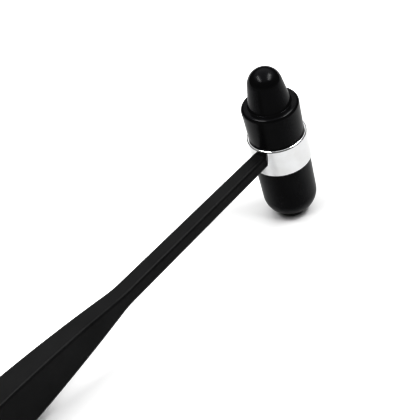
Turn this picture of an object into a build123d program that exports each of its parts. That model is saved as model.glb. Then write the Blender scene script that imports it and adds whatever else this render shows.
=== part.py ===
from build123d import *
from math import acos, asin, atan2, cos, degrees, hypot, sin, tan
import os

# Two-mallet percussion (reflex) hammer, standing on its large mallet and the belly of its grip.
#
# Design frame: the handle runs from the head towards -X, the head's axis is Z, and the origin is
# where the two axes meet. The finished pieces are then tipped about Y into the pose in which the
# hammer rests on a table, with the origin at the bottom centre of the whole hammer's box.
# All sizes are in millimetres.

# ---- driving dimensions ----

# Plated collar
COLLAR_R = 12.0
COLLAR_HEIGHT = 12.6
COLLAR_BORE_R = 9.0
COLLAR_UPPER_ROUND = 0.55
COLLAR_LOWER_ROUND = 0.15
HANDLE_AXIS_UP = 7.4             # handle's axis above the collar's lower rim

# Turned core: a disc pressed into the collar, with a barbed spigot for each mallet
SPIGOT_R = 5.0
SPIGOT_NOSE = 1.0                # chamfer at a spigot's free end
BARB_R = 6.2
BARB_RAMP = 2.6
BARB_LAND = 0.8
BARB_PITCH = 5.2
BARBS = 2
LARGE_SPIGOT_LENGTH = 13.0
SMALL_SPIGOT_LENGTH = 15.0

# Large mallet, below the collar
LARGE_TOP_R = 11.3
LARGE_LOW_R = 10.95
LARGE_SIDE = 17.2                # straight side, from the collar down
LARGE_END_ROUND = 9.8            # from the side round to the blunt striking end
MOUTH_ROUND = 0.3                # edge of each mallet at the collar

# Small mallet, above the collar: a drum that carries a conical nub
DRUM_LOW_R = 11.1
DRUM_HIGH_R = 11.5
DRUM_HEIGHT = 14.8
DRUM_ROUND = 1.5
NUB_BASE_R = 8.58
NUB_ROOT_ROUND = 0.3
NUB_TIP_R = 6.9
NUB_TIP_UP = 23.9                # centre of the nub's tip sphere above the collar

# Handle: half sizes at stations measured out from the head's axis
NECK_HALF_HEIGHT = 2.6
FLARE_AT = 95.6                  # where the slim neck opens into the grip, seen from the side
FLARE_HALF_HEIGHT = 3.25
BELLY_AT = 188.0
BELLY_HALF_HEIGHT = 10.7
TAPER_AT = 214.0                 # where the tail's steeper taper starts
TAIL_AT = 233.0
TAIL_HALF_HEIGHT = 3.0
NECK_HALF_WIDTH = 2.95
WIDEN_AT = 94.0                  # where the neck starts to widen, seen from above
WIDEN_HALF_WIDTH = 3.35
WIDEST_AT = 176.0
WIDEST_HALF_WIDTH = 6.3
TAPER_HALF_WIDTH = 5.2
TAIL_HALF_WIDTH = 2.7
FLARE_BLEND = 55.0               # radii over the corners of the side outline and the plan outline
BELLY_BLEND = 60.0
WIDTH_BLEND = 160.0
TAPER_BLEND = 40.0
HANDLE_EDGE_ROUND = 1.3          # along the handle's long edges and round its tail

# Steel rod moulded into the neck and screwed into the core
ROD_R = 1.5
ROD_THREAD_R = 2.0
ROD_THREAD_INNER = -5.0          # the thread's inner end, past the head's axis
ROD_THREAD_OUTER = 14.0          # where the thread gives way to the plain rod
ROD_END = 90.0
ROD_KEY_R = 1.15                 # grooves that key the rod into the plastic
ROD_KEY_WIDTH = 2.0
ROD_KEY_FIRST = 30.0
ROD_KEY_PITCH = 13.0
ROD_KEYS = 5

# Socket grub screw in the core, pressing on the rod's thread
LOCK_R = 2.0
LOCK_LENGTH = 6.0
LOCK_POINT = 0.6                 # chamfer at the end that presses on the rod
LOCK_ACROSS_FLATS = 2.0
LOCK_SOCKET_DEPTH = 2.5

# ---- values that follow from them ----
COLLAR_LOW = -HANDLE_AXIS_UP
COLLAR_HIGH = COLLAR_LOW + COLLAR_HEIGHT
END_ROUND_OUT = LARGE_LOW_R - LARGE_END_ROUND      # centre of the large mallet's end rounding
END_ROUND_Z = COLLAR_LOW - LARGE_SIDE
LARGE_END_Z = END_ROUND_Z - LARGE_END_ROUND

# The table, seen from the side, is the line through the lowest point of the grip's belly that
# touches the mallet's end rounding from below. TILT is its slope against the handle's axis.
BELLY_RUN = BELLY_AT - END_ROUND_OUT
BELLY_DROP = -END_ROUND_Z - BELLY_HALF_HEIGHT
TILT = atan2(BELLY_DROP, BELLY_RUN) + asin(LARGE_END_ROUND / hypot(BELLY_RUN, BELLY_DROP))
# Behind its belly the grip's underside lies along the table, up to the tail's steeper taper.
TAPER_HALF_HEIGHT = BELLY_HALF_HEIGHT - (TAPER_AT - BELLY_AT) * tan(TILT)

# The nub's cone leaves the drum at NUB_BASE_R and meets the tip sphere at this angle above its centre.
NUB_RUN = NUB_TIP_UP - DRUM_HEIGHT
NUB_TANGENT = acos(NUB_TIP_R / hypot(NUB_BASE_R, NUB_RUN)) - atan2(NUB_RUN, NUB_BASE_R)

BASE = (Align.CENTER, Align.CENTER, Align.MIN)


# ---- helpers ----

def rounded(outline, corner, radius):
    """The outline with the corner nearest to the given point rounded."""
    return fillet(outline.vertices().sort_by_distance(corner)[0], radius)


def turned(outline):
    """The solid turned about Z from an outline drawn as (radius, height)."""
    return revolve(Plane.XZ * outline, Axis.Z)


# ---- head ----

def head_collar():
    ring = Cylinder(COLLAR_R, COLLAR_HEIGHT, align=BASE)
    ring = fillet(ring.edges().group_by(Axis.Z)[-1], COLLAR_UPPER_ROUND)
    ring = fillet(ring.edges().group_by(Axis.Z)[0], COLLAR_LOWER_ROUND)
    ring = Pos(0, 0, COLLAR_LOW) * (ring - Cylinder(COLLAR_BORE_R, COLLAR_HEIGHT, align=BASE))
    return ring - neck_rod()


def spigot(length):
    """A spigot that stands on z = 0. Each barb ramps up from the free end and then steps back."""
    points = [(0, 0), (SPIGOT_R, 0)]
    for barb in range(BARBS):
        step = length - SPIGOT_NOSE - BARB_RAMP - BARB_LAND - (BARBS - 1 - barb) * BARB_PITCH
        points.append((SPIGOT_R, step))
        points.append((BARB_R, step))
        points.append((BARB_R, step + BARB_LAND))
        points.append((SPIGOT_R, step + BARB_LAND + BARB_RAMP))
    points.append((SPIGOT_R - SPIGOT_NOSE, length))
    points.append((0, length))
    return turned(make_face(Polyline(*points, close=True)))


def core_blank():
    """The core before its two holes are tapped. The mallets' sockets have this shape too."""
    disc = Pos(0, 0, COLLAR_LOW) * Cylinder(COLLAR_BORE_R, COLLAR_HEIGHT, align=BASE)
    upper = Pos(0, 0, COLLAR_HIGH) * spigot(SMALL_SPIGOT_LENGTH)
    lower = Pos(0, 0, COLLAR_LOW) * Rot(180, 0, 0) * spigot(LARGE_SPIGOT_LENGTH)
    return disc + upper + lower


def head_core():
    lock_hole = Cylinder(LOCK_R, LARGE_SPIGOT_LENGTH - COLLAR_LOW, align=BASE)
    return core_blank() - Rot(180, 0, 0) * lock_hole - neck_rod()


def lock_screw():
    """Its pointed end presses on the rod's thread and its socket faces down."""
    body = Cylinder(LOCK_R, LOCK_LENGTH, align=BASE)
    body = chamfer(body.edges().group_by(Axis.Z)[0], LOCK_POINT)
    hexagon = RegularPolygon(LOCK_ACROSS_FLATS / 2, 6, major_radius=False)
    socket = Pos(0, 0, LOCK_LENGTH - LOCK_SOCKET_DEPTH) * extrude(hexagon, LOCK_SOCKET_DEPTH)
    return Rot(180, 0, 0) * Pos(0, 0, ROD_THREAD_R) * (body - socket)


def large_mallet():
    mouth = (LARGE_TOP_R, COLLAR_LOW)
    side_end = (LARGE_LOW_R, END_ROUND_Z)
    striking_edge = (END_ROUND_OUT, LARGE_END_Z)
    outline = make_face(Curve() + [
        Polyline(striking_edge, (0, LARGE_END_Z), (0, COLLAR_LOW), mouth, side_end),
        RadiusArc(side_end, striking_edge, LARGE_END_ROUND),
    ])
    return turned(rounded(outline, mouth, MOUTH_ROUND)) - core_blank()


def small_mallet():
    shoulder = COLLAR_HIGH + DRUM_HEIGHT
    tip_centre = COLLAR_HIGH + NUB_TIP_UP
    mouth = (DRUM_LOW_R, COLLAR_HIGH)
    rim = (DRUM_HIGH_R, shoulder)
    root = (NUB_BASE_R, shoulder)
    cone_end = (NUB_TIP_R * cos(NUB_TANGENT), tip_centre + NUB_TIP_R * sin(NUB_TANGENT))
    tip = (0, tip_centre + NUB_TIP_R)
    outline = make_face(Curve() + [
        Polyline(tip, (0, COLLAR_HIGH), mouth, rim, root, cone_end),
        RadiusArc(cone_end, tip, -NUB_TIP_R),
    ])
    outline = rounded(outline, mouth, MOUTH_ROUND)
    outline = rounded(outline, rim, DRUM_ROUND)
    outline = rounded(outline, root, NUB_ROOT_ROUND)
    return turned(outline) - core_blank()


# ---- handle ----

def handle_outline(upper, blends):
    """The face between a chain of lines above the handle's axis and its mirror image below it.

    blends lists (station, half size, radius) for the corners to round, above and below.
    """
    chain = Curve() + upper
    first = chain.vertices().sort_by(Axis.X)[-1]
    last = chain.vertices().sort_by(Axis.X)[0]
    outline = make_face(Curve() + [
        *upper,
        *[mirror(line, Plane.XZ) for line in upper],
        Line((first.X, first.Y), (first.X, -first.Y)),
        Line((last.X, last.Y), (last.X, -last.Y)),
    ])
    for station, half_size, radius in blends:
        outline = rounded(outline, (-station, half_size), radius)
        outline = rounded(outline, (-station, -half_size), radius)
    return outline


def side_outline():
    neck_end = (-FLARE_AT, FLARE_HALF_HEIGHT)
    belly = (-BELLY_AT, BELLY_HALF_HEIGHT)
    upper = [
        Line((0, NECK_HALF_HEIGHT), neck_end),
        TangentArc(belly, neck_end, tangent=(1, 0)),
        Polyline(belly, (-TAPER_AT, TAPER_HALF_HEIGHT), (-TAIL_AT, TAIL_HALF_HEIGHT)),
    ]
    return handle_outline(upper, [
        (FLARE_AT, FLARE_HALF_HEIGHT, FLARE_BLEND),
        (BELLY_AT, BELLY_HALF_HEIGHT, BELLY_BLEND),
        (TAPER_AT, TAPER_HALF_HEIGHT, TAPER_BLEND),
    ])


def plan_outline():
    upper = [Polyline((0, NECK_HALF_WIDTH), (-WIDEN_AT, WIDEN_HALF_WIDTH),
                      (-WIDEST_AT, WIDEST_HALF_WIDTH), (-TAPER_AT, TAPER_HALF_WIDTH),
                      (-TAIL_AT, TAIL_HALF_WIDTH))]
    return handle_outline(upper, [
        (WIDEN_AT, WIDEN_HALF_WIDTH, WIDTH_BLEND),
        (WIDEST_AT, WIDEST_HALF_WIDTH, WIDTH_BLEND),
        (TAPER_AT, TAPER_HALF_WIDTH, TAPER_BLEND),
    ])


def handle():
    """The part that the side outline and the plan outline have in common, with its edges rounded."""
    side = extrude(Plane.XZ * side_outline(), WIDEST_HALF_WIDTH * 2, both=True)
    plan = extrude(plan_outline(), BELLY_HALF_HEIGHT * 2, both=True)
    grip = side & plan
    inner_end = grip.edges().group_by(Axis.X)[-1]
    grip = fillet(grip.edges() - inner_end, HANDLE_EDGE_ROUND)
    collar = Pos(0, 0, COLLAR_LOW) * Cylinder(COLLAR_R, COLLAR_HEIGHT, align=BASE)
    return grip - collar - neck_rod()


def neck_rod():
    def stretch(radius, start, end):
        return Pos(-start, 0, 0) * Rot(0, -90, 0) * Cylinder(radius, end - start, align=BASE)

    rod = stretch(ROD_THREAD_R, ROD_THREAD_INNER, ROD_THREAD_OUTER)
    rod += stretch(ROD_R, ROD_THREAD_OUTER, ROD_END)
    for key in range(ROD_KEYS):
        start = ROD_KEY_FIRST + key * ROD_KEY_PITCH
        end = start + ROD_KEY_WIDTH
        rod -= stretch(ROD_R, start, end) - stretch(ROD_KEY_R, start, end)
    return rod


# ---- assembly ----

PIECES = {
    "head_collar": head_collar,
    "head_core": head_core,
    "large_mallet": large_mallet,
    "small_mallet": small_mallet,
    "handle": handle,
    "neck_rod": neck_rod,
    "lock_screw": lock_screw,
}


def main():
    tipped = {name: Rot(0, -degrees(TILT), 0) * make() for name, make in PIECES.items()}
    boxes = [piece.bounding_box() for piece in tipped.values()]
    tail = min(box.min.X for box in boxes)
    head = max(box.max.X for box in boxes)
    table = min(box.min.Z for box in boxes)
    to_origin = Pos(-(tail + head) / 2, 0, -table)
    os.makedirs("parts", exist_ok=True)
    for name, piece in tipped.items():
        export_step(to_origin * piece, f"parts/{name}.step")


main()
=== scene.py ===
"""Looks, light and camera for the reflex hammer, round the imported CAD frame.

Everything is in metres with +X towards the head and +Z up, unless a comment says millimetres.
"""

import math

import bmesh
import bpy
from mathutils import Matrix, Quaternion, Vector


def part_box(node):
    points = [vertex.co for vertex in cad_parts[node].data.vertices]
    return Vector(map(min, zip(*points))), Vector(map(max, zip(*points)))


MM = 0.001

# ---- camera, aimed from the middle of the plated collar ----
AIM_BEHIND_COLLAR = 43.33 * MM
AIM_BELOW_COLLAR = 4.37 * MM
CAMERA_DISTANCE = 483.3 * MM
CAMERA_AZIMUTH = -43.77
CAMERA_ELEVATION = 35.59
CAMERA_ROLL = 9.52
SENSOR_WIDTH = 36.0
LENS = 109.4
CLIP_NEAR, CLIP_FAR = 0.02, 50.0

# ---- looks: darker and lighter colour, lower and higher roughness; grain in millimetres ----
CHROME_COLOURS = (0.535, 0.535, 0.532), (0.575, 0.578, 0.585)
CHROME_ROUGHNESS = (0.05, 0.13)
CHROME_SMEAR_SIZE = 5.0
CHROME_POLISH_SIZE = 0.9
CHROME_POLISH_STRETCH = (0.25, 0.25, 6.0)
CHROME_POLISH_DEPTH = 0.002

# Painted dark line round the collar, just below its upper lip: a painted reflection that stands in for
# the dark surroundings mirrored in the lip's edge, in millimetres from its middle
PAINTED_REFLECTION_LINE_UP = 5.78
PAINTED_REFLECTION_LINE_HALF = 0.08
PAINTED_REFLECTION_LINE_FADE = 0.10
PAINTED_REFLECTION_LINE_LEFT = 0.28         # share of the plate's brightness left in it

RUBBER_COLOURS = (0.006, 0.006, 0.0067), (0.009, 0.009, 0.0098)
RUBBER_ROUGHNESS = (0.20, 0.24)
RUBBER_SPECULAR = 0.18
RUBBER_BLOOM_SIZE = 7.0
RUBBER_GRAIN_SIZE = 0.22
RUBBER_GRAIN_DEPTH = 0.002

PLASTIC_COLOURS = (0.0165, 0.0165, 0.0167), (0.021, 0.021, 0.0212)
PLASTIC_ROUGHNESS = (0.28, 0.36)
PLASTIC_SPECULAR = 0.08
PLASTIC_TONE_SIZE = 14.0
PLASTIC_GRAIN_SIZE = 0.3
PLASTIC_GRAIN_DEPTH = 0.010

BRASS_COLOURS = (0.62, 0.44, 0.18), (0.74, 0.55, 0.26)
STEEL_COLOURS = (0.46, 0.46, 0.47), (0.58, 0.58, 0.59)
TURNED_ROUGHNESS = (0.22, 0.38)
TURNED_MARK_SIZE = 1.0
TURNED_MARK_STRETCH = (0.3, 0.3, 8.0)
TURNED_MARK_DEPTH = 0.006

# ---- light: a softbox on either side of the camera, in a white tent that is open towards it ----
SIDE_BOXES = {                  # azimuth, elevation, roll in degrees, height, radiance
    "softbox_left": (-113.0, 54.0, -17.0, 0.30, 25.0),
    "softbox_right": (24.0, 58.0, 17.0, 0.50, 19.0),
}
SIDE_BOX_DISTANCE = 2.4
SIDE_BOX_WIDTH = 1.75
TENT_LOW = 0.2                  # radiance of the tent's walls
TENT_HIGH = 1.65                # and of its roof
TENT_TURN = (0.35, 0.7)         # sine of the elevation where the walls end and the roof starts
OPENING_DARK = 0.08             # how bright the opening is beside the walls
OPENING_TOP = (0.68, 0.58)      # sine of the elevation where the opening starts and is complete
OPENING_SIDE = (0.42, 0.56)     # cosine of the angle from its middle where it starts and is complete
FLOOR_RADIUS = 2.0
FLOOR_TONE = 0.63
FLOOR_ROUGHNESS = 0.6
BACKDROP_SIDES = 96
BACKDROP_HEIGHT = 3.0
BACKDROP_RADIANCE = 1.2

# ---- tone curve of a contrasty studio print: scene value, print value ----
TONE_CURVE = [
    (0.0, 0.0), (0.012, 0.0024), (0.036, 0.0053), (0.065, 0.019), (0.145, 0.055),
    (0.3, 0.135), (0.5, 0.31), (0.7, 0.62), (0.85, 0.83), (1.0, 1.0),
]


def direction(azimuth, elevation):
    """The unit vector that points from the object to a place in the studio, both angles in degrees."""
    a, e = math.radians(azimuth), math.radians(elevation)
    return Vector((math.sin(a) * math.cos(e), -math.cos(a) * math.cos(e), math.sin(e)))


def centroid(node):
    """Centre of a CAD node's surface."""
    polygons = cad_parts[node].data.polygons
    area = sum(p.area for p in polygons)
    return sum((p.area * p.center for p in polygons), Vector()) / area


# ---- frame ----

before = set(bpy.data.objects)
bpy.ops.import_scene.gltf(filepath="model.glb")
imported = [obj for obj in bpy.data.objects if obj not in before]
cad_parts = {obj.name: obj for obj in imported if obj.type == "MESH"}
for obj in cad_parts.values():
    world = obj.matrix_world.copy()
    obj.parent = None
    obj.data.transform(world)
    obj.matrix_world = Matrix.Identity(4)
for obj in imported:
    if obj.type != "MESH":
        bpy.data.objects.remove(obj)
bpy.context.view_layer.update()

head_axis = (centroid("small_mallet") - centroid("large_mallet")).normalized()
head_tilt = math.atan2(-head_axis.x, head_axis.z)
collar_low, collar_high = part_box("head_collar")
head_centre = (collar_low + collar_high) / 2


# ---- materials ----

class Nodes:
    """A node tree and its shader, with short calls for the nodes used here."""

    def __init__(self, tree, shader):
        self.tree = tree
        self.shader = tree.nodes[shader]

    def node(self, kind, **settings):
        made = self.tree.nodes.new(kind)
        for key, value in settings.items():
            setattr(made, key, value)
        return made

    def link(self, source, target):
        self.tree.links.new(source, target)

    def set(self, **sockets):
        for name, value in sockets.items():
            self.shader.inputs[name.replace("_", " ")].default_value = value

    def head_coordinates(self):
        """Millimetres along the hammer's own axes, from the middle of the collar."""
        place = self.node("ShaderNodeTexCoord").outputs["Object"]
        mapping = self.node("ShaderNodeMapping", vector_type="TEXTURE")
        mapping.inputs["Location"].default_value = head_centre
        mapping.inputs["Rotation"].default_value = (0, -head_tilt, 0)
        mapping.inputs["Scale"].default_value = (MM, MM, MM)
        self.link(place, mapping.inputs["Vector"])
        return mapping.outputs["Vector"]

    def stretched(self, vector, scale):
        mapping = self.node("ShaderNodeMapping")
        mapping.inputs["Scale"].default_value = scale
        self.link(vector, mapping.inputs["Vector"])
        return mapping.outputs["Vector"]

    def noise(self, vector, size, detail=4.0, rough=0.55):
        """Noise whose largest features are about size millimetres."""
        made = self.node("ShaderNodeTexNoise")
        made.inputs["Scale"].default_value = 1.0 / size
        made.inputs["Detail"].default_value = detail
        made.inputs["Roughness"].default_value = rough
        self.link(vector, made.inputs["Vector"])
        return made.outputs["Fac"]

    def spread(self, value, low, high, to_low, to_high):
        made = self.node("ShaderNodeMapRange")
        made.inputs["From Min"].default_value = low
        made.inputs["From Max"].default_value = high
        made.inputs["To Min"].default_value = to_low
        made.inputs["To Max"].default_value = to_high
        self.link(value, made.inputs["Value"])
        return made.outputs["Result"]

    def product(self, value, factor):
        made = self.node("ShaderNodeMath", operation="MULTIPLY")
        self.link(value, made.inputs[0])
        self.link(factor, made.inputs[1])
        return made.outputs["Value"]

    def ring(self, vector, height, half_width, fade):
        """One on a line round the head at a height in millimetres, and zero beyond its faded edges."""
        parts = self.node("ShaderNodeSeparateXYZ")
        self.link(vector, parts.inputs["Vector"])
        above = self.node("ShaderNodeMath", operation="SUBTRACT")
        above.inputs[1].default_value = height
        self.link(parts.outputs["Z"], above.inputs[0])
        away = self.node("ShaderNodeMath", operation="ABSOLUTE")
        self.link(above.outputs["Value"], away.inputs[0])
        return self.spread(away.outputs["Value"], half_width, half_width + fade, 1.0, 0.0)

    def darkened(self, colour, amount, left):
        """The colour, cut down to the given share where amount is one."""
        made = self.node("ShaderNodeVectorMath", operation="SCALE")
        self.link(colour, made.inputs[0])
        self.link(self.spread(amount, 0.0, 1.0, 1.0, left), made.inputs["Scale"])
        return made.outputs["Vector"]

    def ramp(self, value, stops):
        made = self.node("ShaderNodeValToRGB")
        elements = made.color_ramp.elements
        while len(elements) < len(stops):
            elements.new(0.5)
        for element, (place, colour) in zip(elements, stops):
            element.position = place
            element.color = (*colour, 1.0)
        self.link(value, made.inputs["Fac"])
        return made.outputs["Color"]

    def bump(self, height, depth, below=None):
        """Bump of the given depth in millimetres for a height from 0 to 1."""
        made = self.node("ShaderNodeBump")
        made.inputs["Strength"].default_value = 1.0
        made.inputs["Distance"].default_value = depth * MM
        self.link(height, made.inputs["Height"])
        if below is not None:
            self.link(below, made.inputs["Normal"])
        return made.outputs["Normal"]

    def sockets(self, **values):
        for name, value in values.items():
            self.link(value, self.shader.inputs[name.replace("_", " ")])


class Look(Nodes):
    """The nodes of a new material."""

    def __init__(self, name):
        self.material = bpy.data.materials.new(name)
        self.material.use_nodes = True
        super().__init__(self.material.node_tree, "Principled BSDF")


def chrome():
    m = Look("chrome_plate_look")
    place = m.head_coordinates()
    polish = m.noise(m.stretched(place, CHROME_POLISH_STRETCH), CHROME_POLISH_SIZE, detail=3.0)
    smear = m.noise(place, CHROME_SMEAR_SIZE, detail=5.0)
    low, high = CHROME_COLOURS
    plate = m.ramp(smear, [(0.3, low), (0.7, high)])
    # Painted reflection: a dark line darkened into the plate's colour just below the lip
    painted_reflection_line = m.ring(place, PAINTED_REFLECTION_LINE_UP, PAINTED_REFLECTION_LINE_HALF, PAINTED_REFLECTION_LINE_FADE)
    m.set(Metallic=1.0)
    m.sockets(
        Base_Color=m.darkened(plate, painted_reflection_line, PAINTED_REFLECTION_LINE_LEFT),
        Roughness=m.spread(smear, 0.35, 0.7, *CHROME_ROUGHNESS),
        Normal=m.bump(polish, CHROME_POLISH_DEPTH),
    )
    return m.material


def rubber():
    m = Look("mallet_rubber_look")
    place = m.head_coordinates()
    grain = m.noise(place, RUBBER_GRAIN_SIZE, detail=3.0)
    bloom = m.noise(place, RUBBER_BLOOM_SIZE, detail=6.0, rough=0.6)
    low, high = RUBBER_COLOURS
    m.set(Specular_IOR_Level=RUBBER_SPECULAR)
    m.sockets(
        Base_Color=m.ramp(bloom, [(0.3, low), (0.75, high)]),
        Roughness=m.spread(bloom, 0.3, 0.75, *RUBBER_ROUGHNESS),
        Normal=m.bump(grain, RUBBER_GRAIN_DEPTH),
    )
    return m.material


def plastic():
    m = Look("handle_plastic_look")
    place = m.head_coordinates()
    grain = m.noise(place, PLASTIC_GRAIN_SIZE)
    tone = m.noise(place, PLASTIC_TONE_SIZE, detail=6.0, rough=0.6)
    low, high = PLASTIC_COLOURS
    m.set(Specular_IOR_Level=PLASTIC_SPECULAR)
    m.sockets(
        Base_Color=m.ramp(tone, [(0.3, low), (0.75, high)]),
        Roughness=m.spread(tone, 0.3, 0.75, *PLASTIC_ROUGHNESS),
        Normal=m.bump(grain, PLASTIC_GRAIN_DEPTH),
    )
    return m.material


def turned_metal(name, low, high):
    m = Look(name)
    place = m.head_coordinates()
    marks = m.noise(m.stretched(place, TURNED_MARK_STRETCH), TURNED_MARK_SIZE, detail=3.0)
    m.set(Metallic=1.0)
    m.sockets(
        Base_Color=m.ramp(marks, [(0.35, low), (0.7, high)]),
        Roughness=m.spread(marks, 0.3, 0.7, *TURNED_ROUGHNESS),
        Normal=m.bump(marks, TURNED_MARK_DEPTH),
    )
    return m.material


steel = turned_metal("rod_steel_look", *STEEL_COLOURS)
rubber_look = rubber()
LOOKS = {
    "head_collar": chrome(),
    "head_core": turned_metal("core_brass_look", *BRASS_COLOURS),
    "large_mallet": rubber_look,
    "small_mallet": rubber_look,
    "handle": plastic(),
    "neck_rod": steel,
    "lock_screw": steel,
}
for node, look in LOOKS.items():
    for material_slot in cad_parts[node].material_slots:
        material_slot.material = look


# ---- studio ----

def floor():
    mesh = bpy.data.meshes.new("studio_floor")
    r = FLOOR_RADIUS
    mesh.from_pydata([(-r, -r, 0), (r, -r, 0), (r, r, 0), (-r, r, 0)], [], [(0, 1, 2, 3)])
    made = bpy.data.objects.new("studio_floor", mesh)
    bpy.context.scene.collection.objects.link(made)
    m = Look("studio_floor_look")
    m.set(Base_Color=(FLOOR_TONE, FLOOR_TONE, FLOOR_TONE, 1.0), Roughness=FLOOR_ROUGHNESS)
    mesh.materials.append(m.material)


def backdrop():
    """A pale wall that only the camera sees, which hides the tent's dark opening behind the hammer."""
    mesh = bpy.data.meshes.new("studio_backdrop")
    shape = bmesh.new()
    bmesh.ops.create_cone(shape, cap_ends=False, segments=BACKDROP_SIDES, radius1=FLOOR_RADIUS,
                          radius2=FLOOR_RADIUS, depth=BACKDROP_HEIGHT,
                          matrix=Matrix.Translation((0, 0, BACKDROP_HEIGHT / 2)))
    shape.to_mesh(mesh)
    shape.free()
    made = bpy.data.objects.new("studio_backdrop", mesh)
    bpy.context.scene.collection.objects.link(made)
    made.visible_diffuse = False
    made.visible_glossy = False
    made.visible_shadow = False
    m = Look("studio_backdrop_look")
    m.set(Base_Color=(0, 0, 0, 1), Emission_Color=(1, 1, 1, 1), Emission_Strength=BACKDROP_RADIANCE)
    mesh.materials.append(m.material)


def softbox(name, azimuth, elevation, roll, height, radiance):
    """A rectangular area light that faces the head."""
    light = bpy.data.lights.new(name, "AREA")
    light.shape = "RECTANGLE"
    light.size = SIDE_BOX_WIDTH
    light.size_y = height
    light.energy = radiance * math.pi * SIDE_BOX_WIDTH * height
    made = bpy.data.objects.new(name, light)
    bpy.context.scene.collection.objects.link(made)
    towards = direction(azimuth, elevation)
    made.location = head_centre + SIDE_BOX_DISTANCE * towards
    made.rotation_mode = "QUATERNION"
    made.rotation_quaternion = (towards.to_track_quat("Z", "Y")
                                @ Quaternion((0, 0, 1), math.radians(roll)))


def tent():
    """The white tent's walls and roof, and the dark opening on the camera's side."""
    world = bpy.data.worlds.new("studio_tent")
    bpy.context.scene.world = world
    world.use_nodes = True
    m = Nodes(world.node_tree, "Background")
    place = m.node("ShaderNodeTexCoord").outputs["Generated"]
    parts = m.node("ShaderNodeSeparateXYZ")
    m.link(place, parts.inputs["Vector"])
    height = parts.outputs["Z"]
    facing = m.node("ShaderNodeVectorMath", operation="DOT_PRODUCT")
    facing.inputs[1].default_value = direction(CAMERA_AZIMUTH, 0)
    m.link(place, facing.inputs[0])
    low = m.spread(height, *OPENING_TOP, 0.0, 1.0)
    towards = m.spread(facing.outputs["Value"], *OPENING_SIDE, 0.0, 1.0)
    opening = m.spread(m.product(low, towards), 0.0, 1.0, 1.0, OPENING_DARK)
    m.set(Color=(1, 1, 1, 1))
    m.sockets(Strength=m.product(m.spread(height, *TENT_TURN, TENT_LOW, TENT_HIGH), opening))


def camera():
    data = bpy.data.cameras.new("camera")
    made = bpy.data.objects.new("camera", data)
    bpy.context.scene.collection.objects.link(made)
    data.sensor_width = SENSOR_WIDTH
    data.lens = LENS
    data.clip_start = CLIP_NEAR
    data.clip_end = CLIP_FAR
    aim = head_centre - Vector((AIM_BEHIND_COLLAR, 0, AIM_BELOW_COLLAR))
    back = direction(CAMERA_AZIMUTH, CAMERA_ELEVATION)
    level = back.to_track_quat("Z", "Y").to_matrix().to_4x4()
    made.matrix_world = (Matrix.Translation(aim + CAMERA_DISTANCE * back) @ level
                         @ Matrix.Rotation(math.radians(-CAMERA_ROLL), 4, "Z"))
    bpy.context.scene.camera = made


def tone():
    view = bpy.context.scene.view_settings
    view.view_transform = "Standard"
    view.use_curve_mapping = True
    curve = view.curve_mapping.curves[3]
    for place, value in TONE_CURVE[1:-1]:
        curve.points.new(place, value)
    for point in curve.points:
        point.handle_type = "AUTO_CLAMPED"
    view.curve_mapping.update()


floor()
backdrop()
for box_name, box_place in SIDE_BOXES.items():
    softbox(box_name, *box_place)
tent()
camera()
tone()
